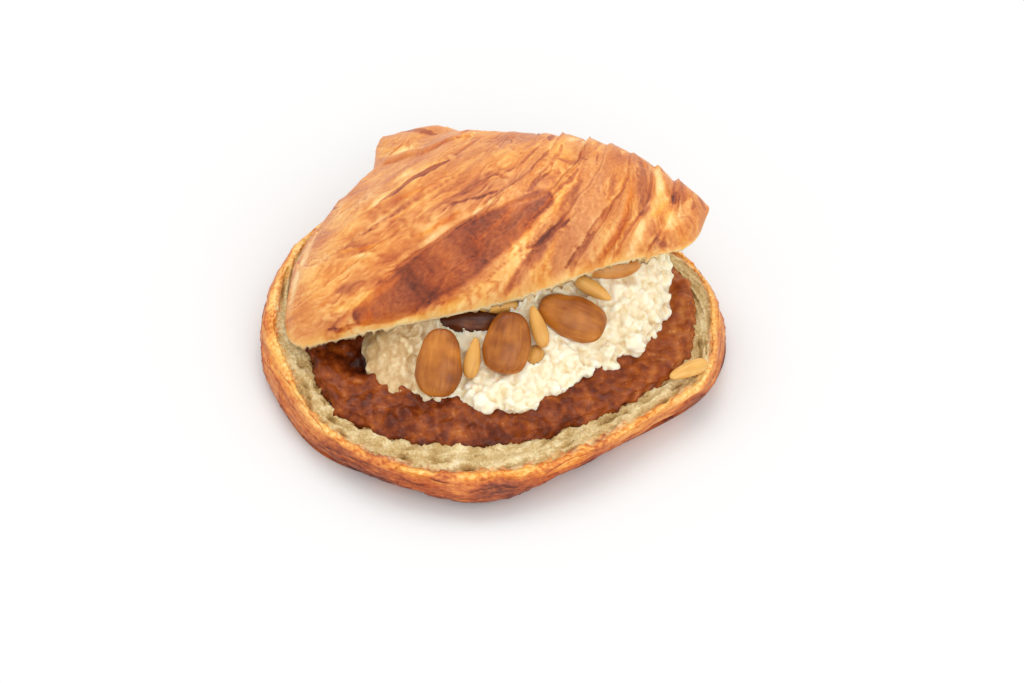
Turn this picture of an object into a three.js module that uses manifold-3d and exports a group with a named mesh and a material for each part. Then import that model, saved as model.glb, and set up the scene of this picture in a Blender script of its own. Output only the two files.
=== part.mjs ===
import * as THREE from 'three';
import { mergeVertices } from 'three/addons/utils/BufferGeometryUtils.js';
import Module from 'manifold-3d';

// A croissant cut open and filled with fruit paste, curd cream, almonds and pine nuts.
// Millimetres, +Z up. The right horn points along +X and the left horn along +Y, behind.
// The crescent is drawn about DRAWING_CENTRE, which then becomes the origin on the table.

const DRAWING_CENTRE = new THREE.Vector3(0.3, 14.3, 0);
const GAP = 0.3;               // air between pieces that touch
const AROUND = 84;             // points round the base and the paste

// ---- base: outline at its widest, how far in the hollow starts, how high the rim stands, and how
// far the crust's side leans out (1) or in (below 0) as it rises ----
const WIDEST_Z = 7;
const HOLLOW_Z = 8;
const FLOOR_MIDDLE = new THREE.Vector2(-4, 12);
const BASE_STATIONS = [
  { at: [-74, 13], inset: 17, rim: 15.5, lean: 0 },
  { at: [-70, -10], inset: 17, rim: 14.5, lean: -0.3 },
  { at: [-55, -34], inset: 13.5, rim: 13, lean: 0 },
  { at: [-31, -50.5], inset: 18, rim: 12.5, lean: 0.4 },
  { at: [-1, -57.5], inset: 23.5, rim: 12.5, lean: 0 },
  { at: [25, -45.5], inset: 15, rim: 13, lean: 0.9 },
  { at: [49, -29], inset: 10.5, rim: 13.5, lean: 1 },
  { at: [68, -14], inset: 12.5, rim: 14, lean: 0.6 },
  { at: [74.5, 8], inset: 13, rim: 14, lean: -0.3 },
  { at: [71, 28], inset: 10, rim: 14, lean: 0 },
  { at: [58, 46], inset: 12, rim: 14.5, lean: 0 },
  { at: [37, 53], inset: 14, rim: 15.5, lean: 0 },
  { at: [16, 57], inset: 14, rim: 16, lean: 0 },
  { at: [0, 69], inset: 14, rim: 16, lean: 0 },
  { at: [-16, 82], inset: 14, rim: 15, lean: 0 },
  { at: [-36, 79], inset: 14, rim: 15, lean: 0 },
  { at: [-53, 61], inset: 16, rim: 15, lean: 0 },
  { at: [-68, 40], inset: 17, rim: 15.5, lean: 0 },
];
// How far in across the inset (0 is the outline), what a lean of 1 adds to that, and the height
// there: a number, or below the rim.
const BASE_PROFILE = [
  { across: 0.5, lean: 0.25, z: 0 },
  { across: 0.26, lean: 0.32, z: 0.9 },
  { across: 0.08, lean: 0.24, z: 3.4 },
  { across: 0, lean: 0, z: WIDEST_Z },
  { across: 0.05, lean: -0.13, belowRim: 3 },
  { across: 0.13, lean: -0.22, belowRim: 0.9 },
  { across: 0.23, lean: -0.25, belowRim: 0 },
  { across: 0.34, lean: -0.12, belowRim: 0.9 },
  { across: 0.6, lean: -0.05, belowRim: 1.4 },
  { across: 0.84, lean: 0, belowRim: 2.2 },
  { across: 1, lean: 0, z: HOLLOW_Z },
];
const RIM_ACROSS = 0.3;         // from here inwards the face is cut crumb
const BASE_LAYER_RELIEF = 0.45; // flaky layer lines round the side
const CRUMB_RELIEF = 0.5;       // torn crumb on the cut face
const CRUMB_LUMP_SIZE = 9;

// ---- lid: front edge, back edge and rise of the crust between them, right tip first ----
const LID_STATIONS = [
  { front: [68.5, 27, 46], back: [68.5, 29, 46], rise: 0 },
  { front: [61, 14, 43], back: [63, 35, 43], rise: 9 },
  { front: [38, 8, 41], back: [44, 52, 37], rise: 22 },
  { front: [3, -4, 36], back: [20, 64, 31], rise: 29 },
  { front: [-36, -6, 26], back: [0, 72, 27], rise: 28 },
  { front: [-63, -3, 17], back: [-6, 78, 24], rise: 25 },
  { front: [-62.5, 30, 17], back: [-9, 83, 22], rise: 17 },
  { front: [-43, 57, 19], back: [-18, 86, 21], rise: 14 },
  { front: [-39, 81, 20], back: [-35, 84, 20], rise: 6 },
];
const LID_ARCH = 0.8;           // power that squares the crust's arch a little
const LID_UNDER_RISE = 2.5;     // the cut face under the lid is slightly hollow
const LIP = 1.3;                // step where one rolled strip overlaps the next
const LID_ACROSS = 14;          // steps from the front edge to the back edge
// Edges between the rolled strips: the station fraction where each leaves the front edge, and the
// one that it has turned back to by the time it is TURNED of the way across the lid.
const STRIP_EDGES = [
  { front: 0.2, back: 0.16 },
  { front: 0.25, back: 0.2 },
  { front: 0.3, back: 0.24 },
  { front: 0.37, back: 0.28 },
  { front: 0.46, back: 0.31 },
  { front: 0.55, back: 0.35 },
  { front: 0.67, back: 0.38 },
  { front: 0.75, back: 0.43 },
  { front: 0.81, back: 0.49 },
  { front: 0.87, back: 0.56 },
];
const TURNED_FIRST = 0.45;
const TURNED_LAST = 0.72;
const LIP_SHARE = 0.15;         // part of a strip's width taken by the rise to its lip
const LIP_FADE_RISE = 12;       // under this rise, near the tips, lips and hollow fade out
const STRIP_STEPS = [0, LIP_SHARE, 0.55]; // where each strip is sampled between its two edges
const TIP_STEPS = [0.03, 0.09, 0.2, 0.35, 0.55, 0.78];
const HORN_STEPS = [0, 0.15, 0.3, 0.45, 0.6, 0.74, 0.85, 0.93, 0.98];

// ---- fruit paste ----
const PASTE_GAP = 0.5;         // under the paste, where the torn crumb is uneven
const PASTE_TOP = 16.6;
const PASTE_LUMP = 0.8;
const PASTE_LUMP_SIZE = 11;
// The paste's edge: how far in across the inset, and how high above its foot on the crumb.
const PASTE_PROFILE = [
  { across: 0.8, up: 1.1 },
  { across: 0.85, up: 2.2 },
  { across: 0.94, up: 3.3 },
];
// Its top: share of the way from the hollow's edge to its middle, and how far under the top.
const PASTE_RINGS = [
  { share: 0.12, below: 1 },
  { share: 0.26, below: 0.3 },
  { share: 0.42, below: 0 },
  { share: 0.6, below: 0 },
  { share: 0.8, below: 0 },
];

// ---- curd cream: outline of its foot on the paste and of its top under the lid ----
const CREAM_FOOT_Z = 12;
const CREAM_TOP_Z = 43;        // inside the lid's thickness, so that the lid's cut face trims the cream
const CREAM_TOP_SLOPE = 0.16;  // the top rises to the right with the lid
const CREAM_STATIONS = [
  { foot: [-41, 8], top: [-34, 16] },
  { foot: [-36, -17], top: [-26, 6] },
  { foot: [-22, -22.5], top: [-14, 2] },
  { foot: [-6, -26], top: [0, 0] },
  { foot: [9, -27], top: [12, 3] },
  { foot: [22, -19], top: [24, 10] },
  { foot: [33, -11], top: [33, 15] },
  { foot: [47, -3], top: [44, 19] },
  { foot: [55, 13], top: [52, 22] },
  { foot: [55, 29], top: [52, 29] },
  { foot: [45, 36], top: [43, 34] },
  { foot: [24, 37], top: [23, 36] },
  { foot: [4, 42], top: [2, 40] },
  { foot: [-18, 55], top: [-14, 46] },
  { foot: [-36, 42], top: [-28, 36] },
];
// Share of the way up, and share of the way from the foot's outline to the top's.
const CREAM_PROFILE = [
  { up: 0, toward: 0.1 },
  { up: 0.1, toward: -0.06 },
  { up: 0.2, toward: 0.08 },
  { up: 0.32, toward: 0.3 },
  { up: 0.46, toward: 0.58 },
  { up: 0.62, toward: 0.84 },
  { up: 1, toward: 1 },
];
const CREAM_AROUND = 60;
const CREAM_LUMP = 0.9;
const CREAM_LUMP_SIZE = 8;
const CREAM_AXIS = new THREE.Vector2(8, 15);

// ---- nuts: spin turns them in the face they lie on, which leans forward by tilt and round by yaw.
// Stretch and wide are their own length and width against the usual. The fatter end is at +x, and
// both ends are blunter the further blunt is below 1 ----
const ALMOND = { length: 22.5, width: 14.5, thick: 7.5, taper: 0.15, blunt: 0.7, rings: 9, sides: 12 };
const PINE_NUT = { length: 13.5, width: 4.9, thick: 4.6, taper: 0.25, blunt: 0.85, rings: 7, sides: 8 };
const ALMONDS = [
  { at: [-16, -19, 26], spin: -90, tilt: 38, yaw: -6, stretch: 0.94, wide: 0.96 },
  { at: [5, -13.5, 29], spin: -100, tilt: 40, yaw: 0, stretch: 0.86 },
  { at: [25, -3.5, 30], spin: -28, tilt: 38, yaw: 8, stretch: 0.97, wide: 0.92 },
  { at: [36, 15.5, 35.5], spin: 4, tilt: 8, yaw: 6, wide: 0.9 },
  { at: [-5.5, 0, 28], spin: 4, tilt: 18, yaw: 0 },
];
const PINE_NUTS = [
  { at: [-5.7, -17.5, 26.5], spin: 260, tilt: 40, yaw: 0, stretch: 0.95 },
  { at: [14.5, -9, 31.5], spin: 287, tilt: 40, yaw: 0 },
  { at: [31.5, 5, 34], spin: 148, tilt: 36, yaw: 0 },
  { at: [61.5, -13.5, 16.5], spin: 28, tilt: 0, yaw: 0 },
  { at: [13.5, -13.8, 23.6], spin: 60, tilt: 34, yaw: 0, stretch: 0.45 },
  { at: [2, -2, 33.5], spin: 6, tilt: 0, yaw: 0 },
];

const wasm = await Module();
wasm.setup();

function closedCurve(points) {
  return new THREE.CatmullRomCurve3(points, true, 'catmullrom', 0.5);
}

function openCurve(points) {
  return new THREE.CatmullRomCurve3(points, false, 'catmullrom', 0.5);
}

// Smooth lumps of about the given size, between -1 and 1, from three crossed waves.
function lumps(point, size) {
  const k = (2 * Math.PI) / size;
  const a = Math.sin(k * (point.x + 0.4 * point.y) + 1.3);
  const b = Math.sin(k * (point.y - 0.3 * point.z) + 2.1 * Math.sin(0.45 * k * point.x));
  const c = Math.sin(k * (0.7 * point.z + 0.6 * point.x - 0.7 * point.y) + 0.7);
  return (a * b + b * c + c * a) / 1.8;
}

// Closed surface through rings that each have the same number of points. A ring of one repeated
// point closes an end.
function skin(rings) {
  const count = rings[0].length;
  const positions = rings.flat().flatMap((p) => [p.x, p.y, p.z]);
  const index = [];
  for (let r = 0; r < rings.length - 1; r += 1) {
    for (let i = 0; i < count; i += 1) {
      const j = (i + 1) % count;
      const low = r * count;
      const high = low + count;
      index.push(low + i, low + j, high + j, low + i, high + j, high + i);
    }
  }
  const geometry = new THREE.BufferGeometry();
  geometry.setAttribute('position', new THREE.Float32BufferAttribute(positions, 3));
  geometry.setIndex(index);
  return withoutSlivers(mergeVertices(geometry, 1e-3));
}

function withoutSlivers(geometry) {
  const old = geometry.getIndex().array;
  const kept = [];
  for (let i = 0; i < old.length; i += 3) {
    const [a, b, c] = [old[i], old[i + 1], old[i + 2]];
    if (a !== b && b !== c && c !== a) {
      kept.push(a, b, c);
    }
  }
  geometry.setIndex(kept);
  return geometry;
}

function toSolid(geometry) {
  const vertProperties = new Float32Array(geometry.getAttribute('position').array);
  const triVerts = new Uint32Array(geometry.getIndex().array);
  return new wasm.Manifold(new wasm.Mesh({ numProp: 3, vertProperties, triVerts }));
}

function toGeometry(solid) {
  const mesh = solid.getMesh();
  const geometry = new THREE.BufferGeometry();
  geometry.setAttribute('position', new THREE.Float32BufferAttribute(mesh.vertProperties, 3));
  geometry.setIndex(Array.from(mesh.triVerts));
  return geometry;
}

function repeated(point, count) {
  return Array.from({ length: count }, () => point.clone());
}

// ---- base ----
function baseCurves() {
  const points = BASE_STATIONS.map((s) => new THREE.Vector3(s.at[0], s.at[1], s.rim));
  const outer = closedCurve(points);
  const inner = closedCurve(points.map((p, i) => {
    const tangent = outer.getTangent(i / points.length);
    const inward = new THREE.Vector3(-tangent.y, tangent.x, 0).normalize();
    return p.clone().addScaledVector(inward, BASE_STATIONS[i].inset);
  }));
  const lean = closedCurve(BASE_STATIONS.map((s, i) => new THREE.Vector3(i, 0, s.lean)));
  return { outer, inner, lean };
}

const { outer: BASE_OUTER, inner: BASE_INNER, lean: BASE_LEAN } = baseCurves();

function baseColumn(i, across) {
  const t = i / AROUND;
  return BASE_OUTER.getPoint(t).lerp(BASE_INNER.getPoint(t), across);
}

function basePoint(i, row) {
  const lean = BASE_LEAN.getPoint(i / AROUND).z;
  const point = baseColumn(i, row.across + lean * row.lean);
  const rim = point.z;
  point.z = row.z ?? rim - row.belowRim;
  const onSide = row.across < RIM_ACROSS;
  const underneath = point.z < 1;
  if (onSide && !underneath) {
    point.z += BASE_LAYER_RELIEF * Math.sin(0.9 * i + 2 * Math.sin(0.23 * i));
  } else if (row.belowRim) {
    point.z += CRUMB_RELIEF * lumps(point, CRUMB_LUMP_SIZE);
  }
  return point;
}

function baseRing(row) {
  return Array.from({ length: AROUND }, (_, i) => basePoint(i, row));
}

function floorRing(toMiddle, z) {
  return Array.from({ length: AROUND }, (_, i) => {
    const point = baseColumn(i, 1);
    point.x = THREE.MathUtils.lerp(point.x, FLOOR_MIDDLE.x, toMiddle);
    point.y = THREE.MathUtils.lerp(point.y, FLOOR_MIDDLE.y, toMiddle);
    point.z = z;
    return point;
  });
}

function floorMiddle(z) {
  return repeated(new THREE.Vector3(FLOOR_MIDDLE.x, FLOOR_MIDDLE.y, z), AROUND);
}

function baseGeometry() {
  const rings = BASE_PROFILE.map(baseRing);
  return skin([floorMiddle(0), ...rings, floorMiddle(HOLLOW_Z)]);
}

// ---- fruit paste: its underside follows the hollow, one gap above ----
function pasteGeometry() {
  const edge = BASE_PROFILE.findIndex((row) => row.across > 0.8);
  const lift = (ring) => ring.map((p) => p.setZ(p.z + PASTE_GAP));
  const underEdge = lift(baseRing(BASE_PROFILE[edge]));
  const underFloor = lift(baseRing(BASE_PROFILE[edge + 1]));
  const side = PASTE_PROFILE.map((row) => Array.from({ length: AROUND }, (_, i) => {
    const point = baseColumn(i, row.across);
    point.z = underEdge[i].z + row.up;
    return point;
  }));
  const top = PASTE_RINGS.map((row) => floorRing(row.share, PASTE_TOP - row.below).map((point) => {
    point.z += PASTE_LUMP * lumps(point, PASTE_LUMP_SIZE);
    return point;
  }));
  const bottom = floorMiddle(HOLLOW_Z + PASTE_GAP);
  return skin([bottom, underFloor, underEdge, ...side, ...top, floorMiddle(PASTE_TOP)]);
}

// ---- lid ----
const LID_FRONT = openCurve(LID_STATIONS.map((s) => new THREE.Vector3(...s.front)));
const LID_BACK = openCurve(LID_STATIONS.map((s) => new THREE.Vector3(...s.back)));
const LID_RISE = openCurve(LID_STATIONS.map((s, i) => new THREE.Vector3(i, 0, s.rise)));

// Station fraction of one strip's edge at v across the lid. Toward the left horn an edge starts
// out straighter before it turns.
function stripEdge({ front, back }, k, v) {
  const order = k / (STRIP_EDGES.length - 1);
  const turned = Math.min(v / THREE.MathUtils.lerp(TURNED_FIRST, TURNED_LAST, order), 1);
  return THREE.MathUtils.lerp(back, front, (1 - turned ** (1 + order)) ** 2);
}

// Station fraction of a point that lies the given number of strips along, at v across the lid.
function alongAt(strips, v) {
  const edges = [0, ...STRIP_EDGES.map((edge, k) => stripEdge(edge, k, v)), 1];
  const k = Math.min(Math.floor(strips), edges.length - 2);
  return THREE.MathUtils.lerp(edges[k], edges[k + 1], strips - k);
}

// Height of a strip above the arch: it rises to a lip at its upper edge and dips past it.
function lipHeight(strips) {
  const share = strips - Math.floor(strips);
  const rising = share / LIP_SHARE - 0.5;
  const falling = 0.5 - (share - LIP_SHARE) / (1 - LIP_SHARE);
  return LIP * Math.min(rising, falling);
}

function tipFade(rise) {
  return Math.min(1, rise / LIP_FADE_RISE);
}

function lidTopPoint(strips, v) {
  const u = alongAt(strips, v);
  const point = LID_FRONT.getPoint(u).lerp(LID_BACK.getPoint(u), (1 - Math.cos(Math.PI * v)) / 2);
  const rise = Math.max(LID_RISE.getPoint(u).z, 0);
  const arch = Math.max(Math.sin(Math.PI * v), 0) ** LID_ARCH;
  point.z += (rise + tipFade(rise) * lipHeight(strips)) * arch;
  return point;
}

function lidUnderPoint(strips, v) {
  const front = LID_FRONT.getPoint(alongAt(strips, 0));
  const back = LID_BACK.getPoint(alongAt(strips, 1));
  const rise = Math.max(LID_RISE.getPoint(alongAt(strips, 0.5)).z, 0);
  const point = front.lerp(back, (1 - Math.cos(Math.PI * v)) / 2);
  point.z += LID_UNDER_RISE * tipFade(rise) * Math.sin(Math.PI * v);
  return point;
}

function lidStations() {
  const last = STRIP_EDGES.length;
  const middle = [];
  for (let strip = 1; strip < last; strip += 1) {
    STRIP_STEPS.forEach((step) => middle.push(strip + step));
  }
  const horn = HORN_STEPS.map((step) => last + step);
  return [...TIP_STEPS, ...middle, ...horn];
}

function lidRing(strips) {
  const steps = Array.from({ length: LID_ACROSS + 1 }, (_, j) => j / LID_ACROSS);
  const top = steps.map((v) => lidTopPoint(strips, v));
  const under = steps.slice(1, -1).reverse().map((v) => lidUnderPoint(strips, v));
  return [...top, ...under];
}

function lidGeometry() {
  const rings = lidStations().map(lidRing);
  const count = rings[0].length;
  const tip = LID_FRONT.getPoint(0).lerp(LID_BACK.getPoint(0), 0.5);
  const horn = LID_FRONT.getPoint(1).lerp(LID_BACK.getPoint(1), 0.5);
  return skin([repeated(tip, count), ...rings, repeated(horn, count)]);
}

// ---- nuts ----
function nutGeometry(nut, grow = 0) {
  const half = nut.length / 2 + grow;
  const loops = [];
  for (let r = 1; r < nut.rings; r += 1) {
    const angle = (Math.PI * r) / nut.rings;
    const x = -half * Math.cos(angle);
    const girth = Math.sin(angle) ** nut.blunt * (1 - nut.taper * Math.cos(angle));
    loops.push(Array.from({ length: nut.sides }, (_, i) => {
      const turn = (2 * Math.PI * i) / nut.sides;
      const y = (nut.width / 2 + grow) * girth * Math.cos(turn);
      const z = (nut.thick / 2 + grow) * girth * Math.sin(turn);
      return new THREE.Vector3(x, y, z);
    }));
  }
  const start = repeated(new THREE.Vector3(-half, 0, 0), nut.sides);
  const end = repeated(new THREE.Vector3(half, 0, 0), nut.sides);
  return skin([start, ...loops, end]);
}

function placeNut(mesh, place) {
  const turn = THREE.MathUtils.degToRad;
  mesh.position.set(...place.at);
  mesh.rotation.set(turn(place.tilt), 0, turn(place.yaw), 'ZXY');
  mesh.rotateZ(turn(place.spin));
  mesh.scale.set(place.stretch ?? 1, place.wide ?? 1, 1);
  mesh.updateMatrix();
}

// ---- curd cream ----
function creamTop(x) {
  return CREAM_TOP_Z + CREAM_TOP_SLOPE * x;
}

function creamRing(row) {
  const foot = closedCurve(CREAM_STATIONS.map((s) => new THREE.Vector3(s.foot[0], s.foot[1], CREAM_FOOT_Z)));
  const top = closedCurve(CREAM_STATIONS.map((s) => new THREE.Vector3(s.top[0], s.top[1], CREAM_FOOT_Z)));
  return Array.from({ length: CREAM_AROUND }, (_, i) => {
    const t = i / CREAM_AROUND;
    const point = foot.getPoint(t).lerp(top.getPoint(t), row.toward);
    point.z = THREE.MathUtils.lerp(CREAM_FOOT_Z, creamTop(point.x), row.up);
    const out = new THREE.Vector3(point.x - CREAM_AXIS.x, point.y - CREAM_AXIS.y, 0).normalize();
    point.addScaledVector(out, CREAM_LUMP * lumps(point, CREAM_LUMP_SIZE));
    return point;
  });
}

function creamGeometry(paste, lid, pockets) {
  const rings = CREAM_PROFILE.map(creamRing);
  const low = repeated(new THREE.Vector3(CREAM_AXIS.x, CREAM_AXIS.y, CREAM_FOOT_Z), CREAM_AROUND);
  const high = repeated(low[0].clone().setZ(creamTop(CREAM_AXIS.x)), CREAM_AROUND);
  let cream = toSolid(skin([low, ...rings, high]));
  cream = cream.subtract(toSolid(paste).translate([0, 0, GAP]));
  cream = cream.subtract(toSolid(lid).translate([0, 0, -GAP]));
  pockets.forEach((pocket) => {
    cream = cream.subtract(pocket);
  });
  return toGeometry(cream);
}

// ---- materials ----
function material(color, roughness) {
  return new THREE.MeshStandardMaterial({ color, roughness, metalness: 0 });
}

const CRUST = material(0xc0692a, 0.45);
const PASTE = material(0x84391a, 0.3);
const CREAM = material(0xf4ecd8, 0.5);
const ALMOND_SKIN = material(0xb5763c, 0.35);
const PINE_SKIN = material(0xdcae62, 0.35);

const food = new THREE.Group();

function addPiece(name, geometry, look) {
  const mesh = new THREE.Mesh(geometry, look);
  mesh.name = name;
  food.add(mesh);
  return mesh;
}

// Adds the nuts and returns the pockets that they press into the cream.
function addNuts(name, nut, places, look) {
  return places.map((place, i) => {
    const mesh = addPiece(`${name}_${i + 1}`, nutGeometry(nut), look);
    placeNut(mesh, place);
    const pocket = nutGeometry(nut, GAP);
    pocket.applyMatrix4(mesh.matrix);
    return toSolid(pocket);
  });
}

const base = baseGeometry();
const paste = pasteGeometry();
const lid = lidGeometry();
addPiece('croissant_base', base, CRUST);
addPiece('fruit_paste', paste, PASTE);
addPiece('croissant_lid', lid, CRUST);
const nutPockets = [
  ...addNuts('almond', ALMOND, ALMONDS, ALMOND_SKIN),
  ...addNuts('pine_nut', PINE_NUT, PINE_NUTS, PINE_SKIN),
];
addPiece('curd_cream', creamGeometry(paste, lid, nutPockets), CREAM);
food.position.copy(DRAWING_CENTRE).negate();

const croissant = new THREE.Group();
croissant.add(food);

export default croissant;
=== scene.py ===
import math

import bpy
import numpy as np
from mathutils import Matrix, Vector
from mathutils.bvhtree import BVHTree


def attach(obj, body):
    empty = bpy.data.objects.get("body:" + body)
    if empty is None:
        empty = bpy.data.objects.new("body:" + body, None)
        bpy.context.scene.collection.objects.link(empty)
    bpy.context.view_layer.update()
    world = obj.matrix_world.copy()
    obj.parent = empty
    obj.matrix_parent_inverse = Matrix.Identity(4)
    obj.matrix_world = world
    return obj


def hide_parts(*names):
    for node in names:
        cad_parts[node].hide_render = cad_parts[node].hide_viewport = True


# The looks of the filled croissant. Shapes are worked out in millimetres in the drawing that the
# solids share, and turned into metres about the part's origin when a mesh is made.

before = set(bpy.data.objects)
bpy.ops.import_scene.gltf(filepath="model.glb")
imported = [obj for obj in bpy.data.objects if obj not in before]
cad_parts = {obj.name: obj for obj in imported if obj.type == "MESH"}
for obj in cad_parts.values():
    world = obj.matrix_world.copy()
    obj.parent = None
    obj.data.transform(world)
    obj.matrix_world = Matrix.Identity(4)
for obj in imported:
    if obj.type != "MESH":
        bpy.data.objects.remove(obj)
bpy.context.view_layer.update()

MM = 0.001
DRAWING_CENTRE = np.array([0.3, 14.3, 0.0])

# ---- camera, which also finds the places that are named by a pixel of the photograph ----
PHOTO_SIZE = (1024, 683)
CAMERA_TARGET = np.array([6.4, 6.0, 8.0])
CAMERA_DISTANCE = 774.0
CAMERA_ELEVATION = 48.0
CAMERA_LENS = 85.0
SENSOR_WIDTH = 36.0

# ---- base: outline, how far in the hollow starts, how high the rim stands, and how far the
# crust's side leans out (1) or in (below 0) as it rises ----
WIDEST_Z = 7.0
HOLLOW_Z = 8.0
FLOOR_MIDDLE = (-4.0, 12.0)
BASE_STATIONS = [
    # x, y, inset, rim, lean
    (-74, 13, 17, 15.5, 0),
    (-70, -10, 17, 14.5, -0.3),
    (-55, -34, 13.5, 13, 0),
    (-31, -50.5, 18, 12.5, 0.4),
    (-1, -57.5, 23.5, 12.5, 0),
    (25, -45.5, 15, 13, 0.9),
    (49, -29, 10.5, 13.5, 1),
    (68, -14, 12.5, 14, 0.6),
    (74.5, 8, 13, 14, -0.3),
    (71, 28, 10, 14, 0),
    (58, 46, 12, 14.5, 0),
    (37, 53, 14, 15.5, 0),
    (16, 57, 14, 16, 0),
    (0, 69, 14, 16, 0),
    (-16, 82, 14, 15, 0),
    (-36, 79, 14, 15, 0),
    (-53, 61, 16, 15, 0),
    (-68, 40, 17, 15.5, 0),
]
# Across the inset, what a lean of 1 adds, height, and whether it is counted down from the rim.
BASE_ROWS = [
    (0.5, 0.25, 0.0, False),
    (0.26, 0.32, 0.9, False),
    (0.08, 0.24, 3.4, False),
    (0.0, 0.0, WIDEST_Z, False),
    (0.05, -0.13, 3.0, True),
    (0.13, -0.22, 0.9, True),
    (0.23, -0.25, 0.0, True),
    (0.34, -0.12, 0.9, True),
    (0.6, -0.05, 1.4, True),
    (0.84, 0.0, 2.2, True),
    (1.0, 0.0, HOLLOW_Z, False),
]

# ---- lid: front edge, back edge and rise of the crust, right tip first ----
LID_STATIONS = [
    ((68.5, 27, 46), (68.5, 29, 46), 0),
    ((61, 14, 43), (63, 35, 43), 9),
    ((38, 8, 41), (44, 52, 37), 22),
    ((3, -4, 36), (20, 64, 31), 29),
    ((-36, -6, 26), (0, 72, 27), 28),
    ((-63, -3, 17), (-6, 78, 24), 25),
    ((-62.5, 30, 17), (-9, 83, 22), 17),
    ((-43, 57, 19), (-18, 86, 21), 14),
    ((-39, 81, 20), (-35, 84, 20), 6),
]
LID_ARCH = 0.8
LID_UNDER_RISE = 2.5
LIP_FADE_RISE = 12.0
# Edges between the rolled strips: station fraction at the front edge, and the one that it has
# turned back to by the time it is TURNED of the way across.
STRIP_EDGES = [
    (0.2, 0.16),
    (0.25, 0.2),
    (0.3, 0.24),
    (0.37, 0.28),
    (0.46, 0.31),
    (0.55, 0.35),
    (0.67, 0.38),
    (0.75, 0.43),
    (0.81, 0.49),
    (0.87, 0.56),
]
TURNED_FIRST = 0.45
TURNED_LAST = 0.72
STRIPS = len(STRIP_EDGES) + 1


# ---------------------------------------------------------------- curves and noise
def catmull(points, t, closed=False):
    """Points of the smooth curve through the given ones, at fractions t of its length."""
    points = np.asarray(points, float)
    count = len(points)
    spans = count if closed else count - 1
    place = (t % 1.0) * spans if closed else np.clip(t, 0, 1) * spans
    span = np.floor(place).astype(int)
    if not closed:
        span = np.minimum(span, spans - 1)
        ends = [2 * points[0] - points[1]], points, [2 * points[-1] - points[-2]]
        points = np.concatenate(ends)
        before, start, stop, after = (points[span + k] for k in range(4))
    else:
        before, start, stop, after = (points[(span + k) % count] for k in (-1, 0, 1, 2))
    w = (place - span).reshape(place.shape + (1,) * (points.ndim - 1))
    leave = (stop - before) / 2
    arrive = (after - start) / 2
    cubic = 2 * start - 2 * stop + leave + arrive
    square = 3 * stop - 3 * start - 2 * leave - arrive
    return ((cubic * w + square) * w + leave) * w + start


def smooth(low, high, value):
    share = np.clip((value - low) / (high - low), 0, 1)
    return share * share * (3 - 2 * share)


def noise(x, y, z, seed):
    """Smooth noise between about -1 and 1, in cells of one unit."""
    rng = np.random.default_rng(seed)
    order = rng.permutation(256)
    slopes = rng.normal(size=(256, 3))
    slopes /= np.linalg.norm(slopes, axis=1)[:, None]
    point = np.stack(np.broadcast_arrays(x, y, z), -1).astype(float)
    cell = np.floor(point).astype(int)
    inside = point - cell
    fade = inside ** 3 * (inside * (inside * 6 - 15) + 10)
    total = 0.0
    for corner in np.ndindex(2, 2, 2):
        key = order[(cell[..., 0] + corner[0]) & 255]
        key = order[(key + cell[..., 1] + corner[1]) & 255]
        key = order[(key + cell[..., 2] + corner[2]) & 255]
        weight = np.prod(np.where(corner, fade, 1 - fade), axis=-1)
        total = total + weight * ((inside - corner) * slopes[key]).sum(-1)
    return 1.6 * total


def fractal(x, y, z, seed, octaves=3):
    total = 0.0
    for k in range(octaves):
        total = total + noise(x * 2 ** k, y * 2 ** k, z * 2 ** k, seed + k) / 2 ** k
    return total


def cells(x, y, z, seed):
    """Distance to the nearest of scattered points, one in each unit cell."""
    rng = np.random.default_rng(seed)
    order = rng.permutation(256)
    jitter = rng.random((256, 3))
    point = np.stack(np.broadcast_arrays(x, y, z), -1).astype(float)
    cell = np.floor(point).astype(int)
    nearest = np.full(point.shape[:-1], 9.0)
    for step in np.ndindex(3, 3, 3):
        there = cell + np.array(step) - 1
        key = order[there[..., 0] & 255]
        key = order[(key + there[..., 1]) & 255]
        key = order[(key + there[..., 2]) & 255]
        away = np.linalg.norm(there + jitter[key] - point, axis=-1)
        nearest = np.minimum(nearest, away)
    return nearest


def lumps(point, size):
    """The solids' own lumps, between -1 and 1."""
    k = 2 * np.pi / size
    x, y, z = point[..., 0], point[..., 1], point[..., 2]
    a = np.sin(k * (x + 0.4 * y) + 1.3)
    b = np.sin(k * (y - 0.3 * z) + 2.1 * np.sin(0.45 * k * x))
    c = np.sin(k * (0.7 * z + 0.6 * x - 0.7 * y) + 0.7)
    return (a * b + b * c + c * a) / 1.8


def path_length(grid, axis):
    """Millimetres along the lines of a grid of points."""
    steps = np.linalg.norm(np.diff(grid, axis=axis), axis=-1)
    pad = [(0, 0), (0, 0)]
    pad[axis] = (1, 0)
    return np.pad(np.cumsum(steps, axis=axis), pad)


def ridges(x, y, z, seed):
    """Sharp crests, between 0 and 1."""
    return 1 - np.minimum(np.abs(noise(x, y, z, seed)) * 2.2, 1)


# ---------------------------------------------------------------- meshes
def grid_normals(grid, closed):
    """Normals of a grid of points [ring, around, 3], facing out for rings turned as here."""
    around = np.roll(grid, -1, 1) - np.roll(grid, 1, 1) if closed else np.gradient(grid, axis=1)
    along = np.gradient(grid, axis=0)
    normal = np.cross(around, along)
    return normal / (np.linalg.norm(normal, axis=-1, keepdims=True) + 1e-12)


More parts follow.
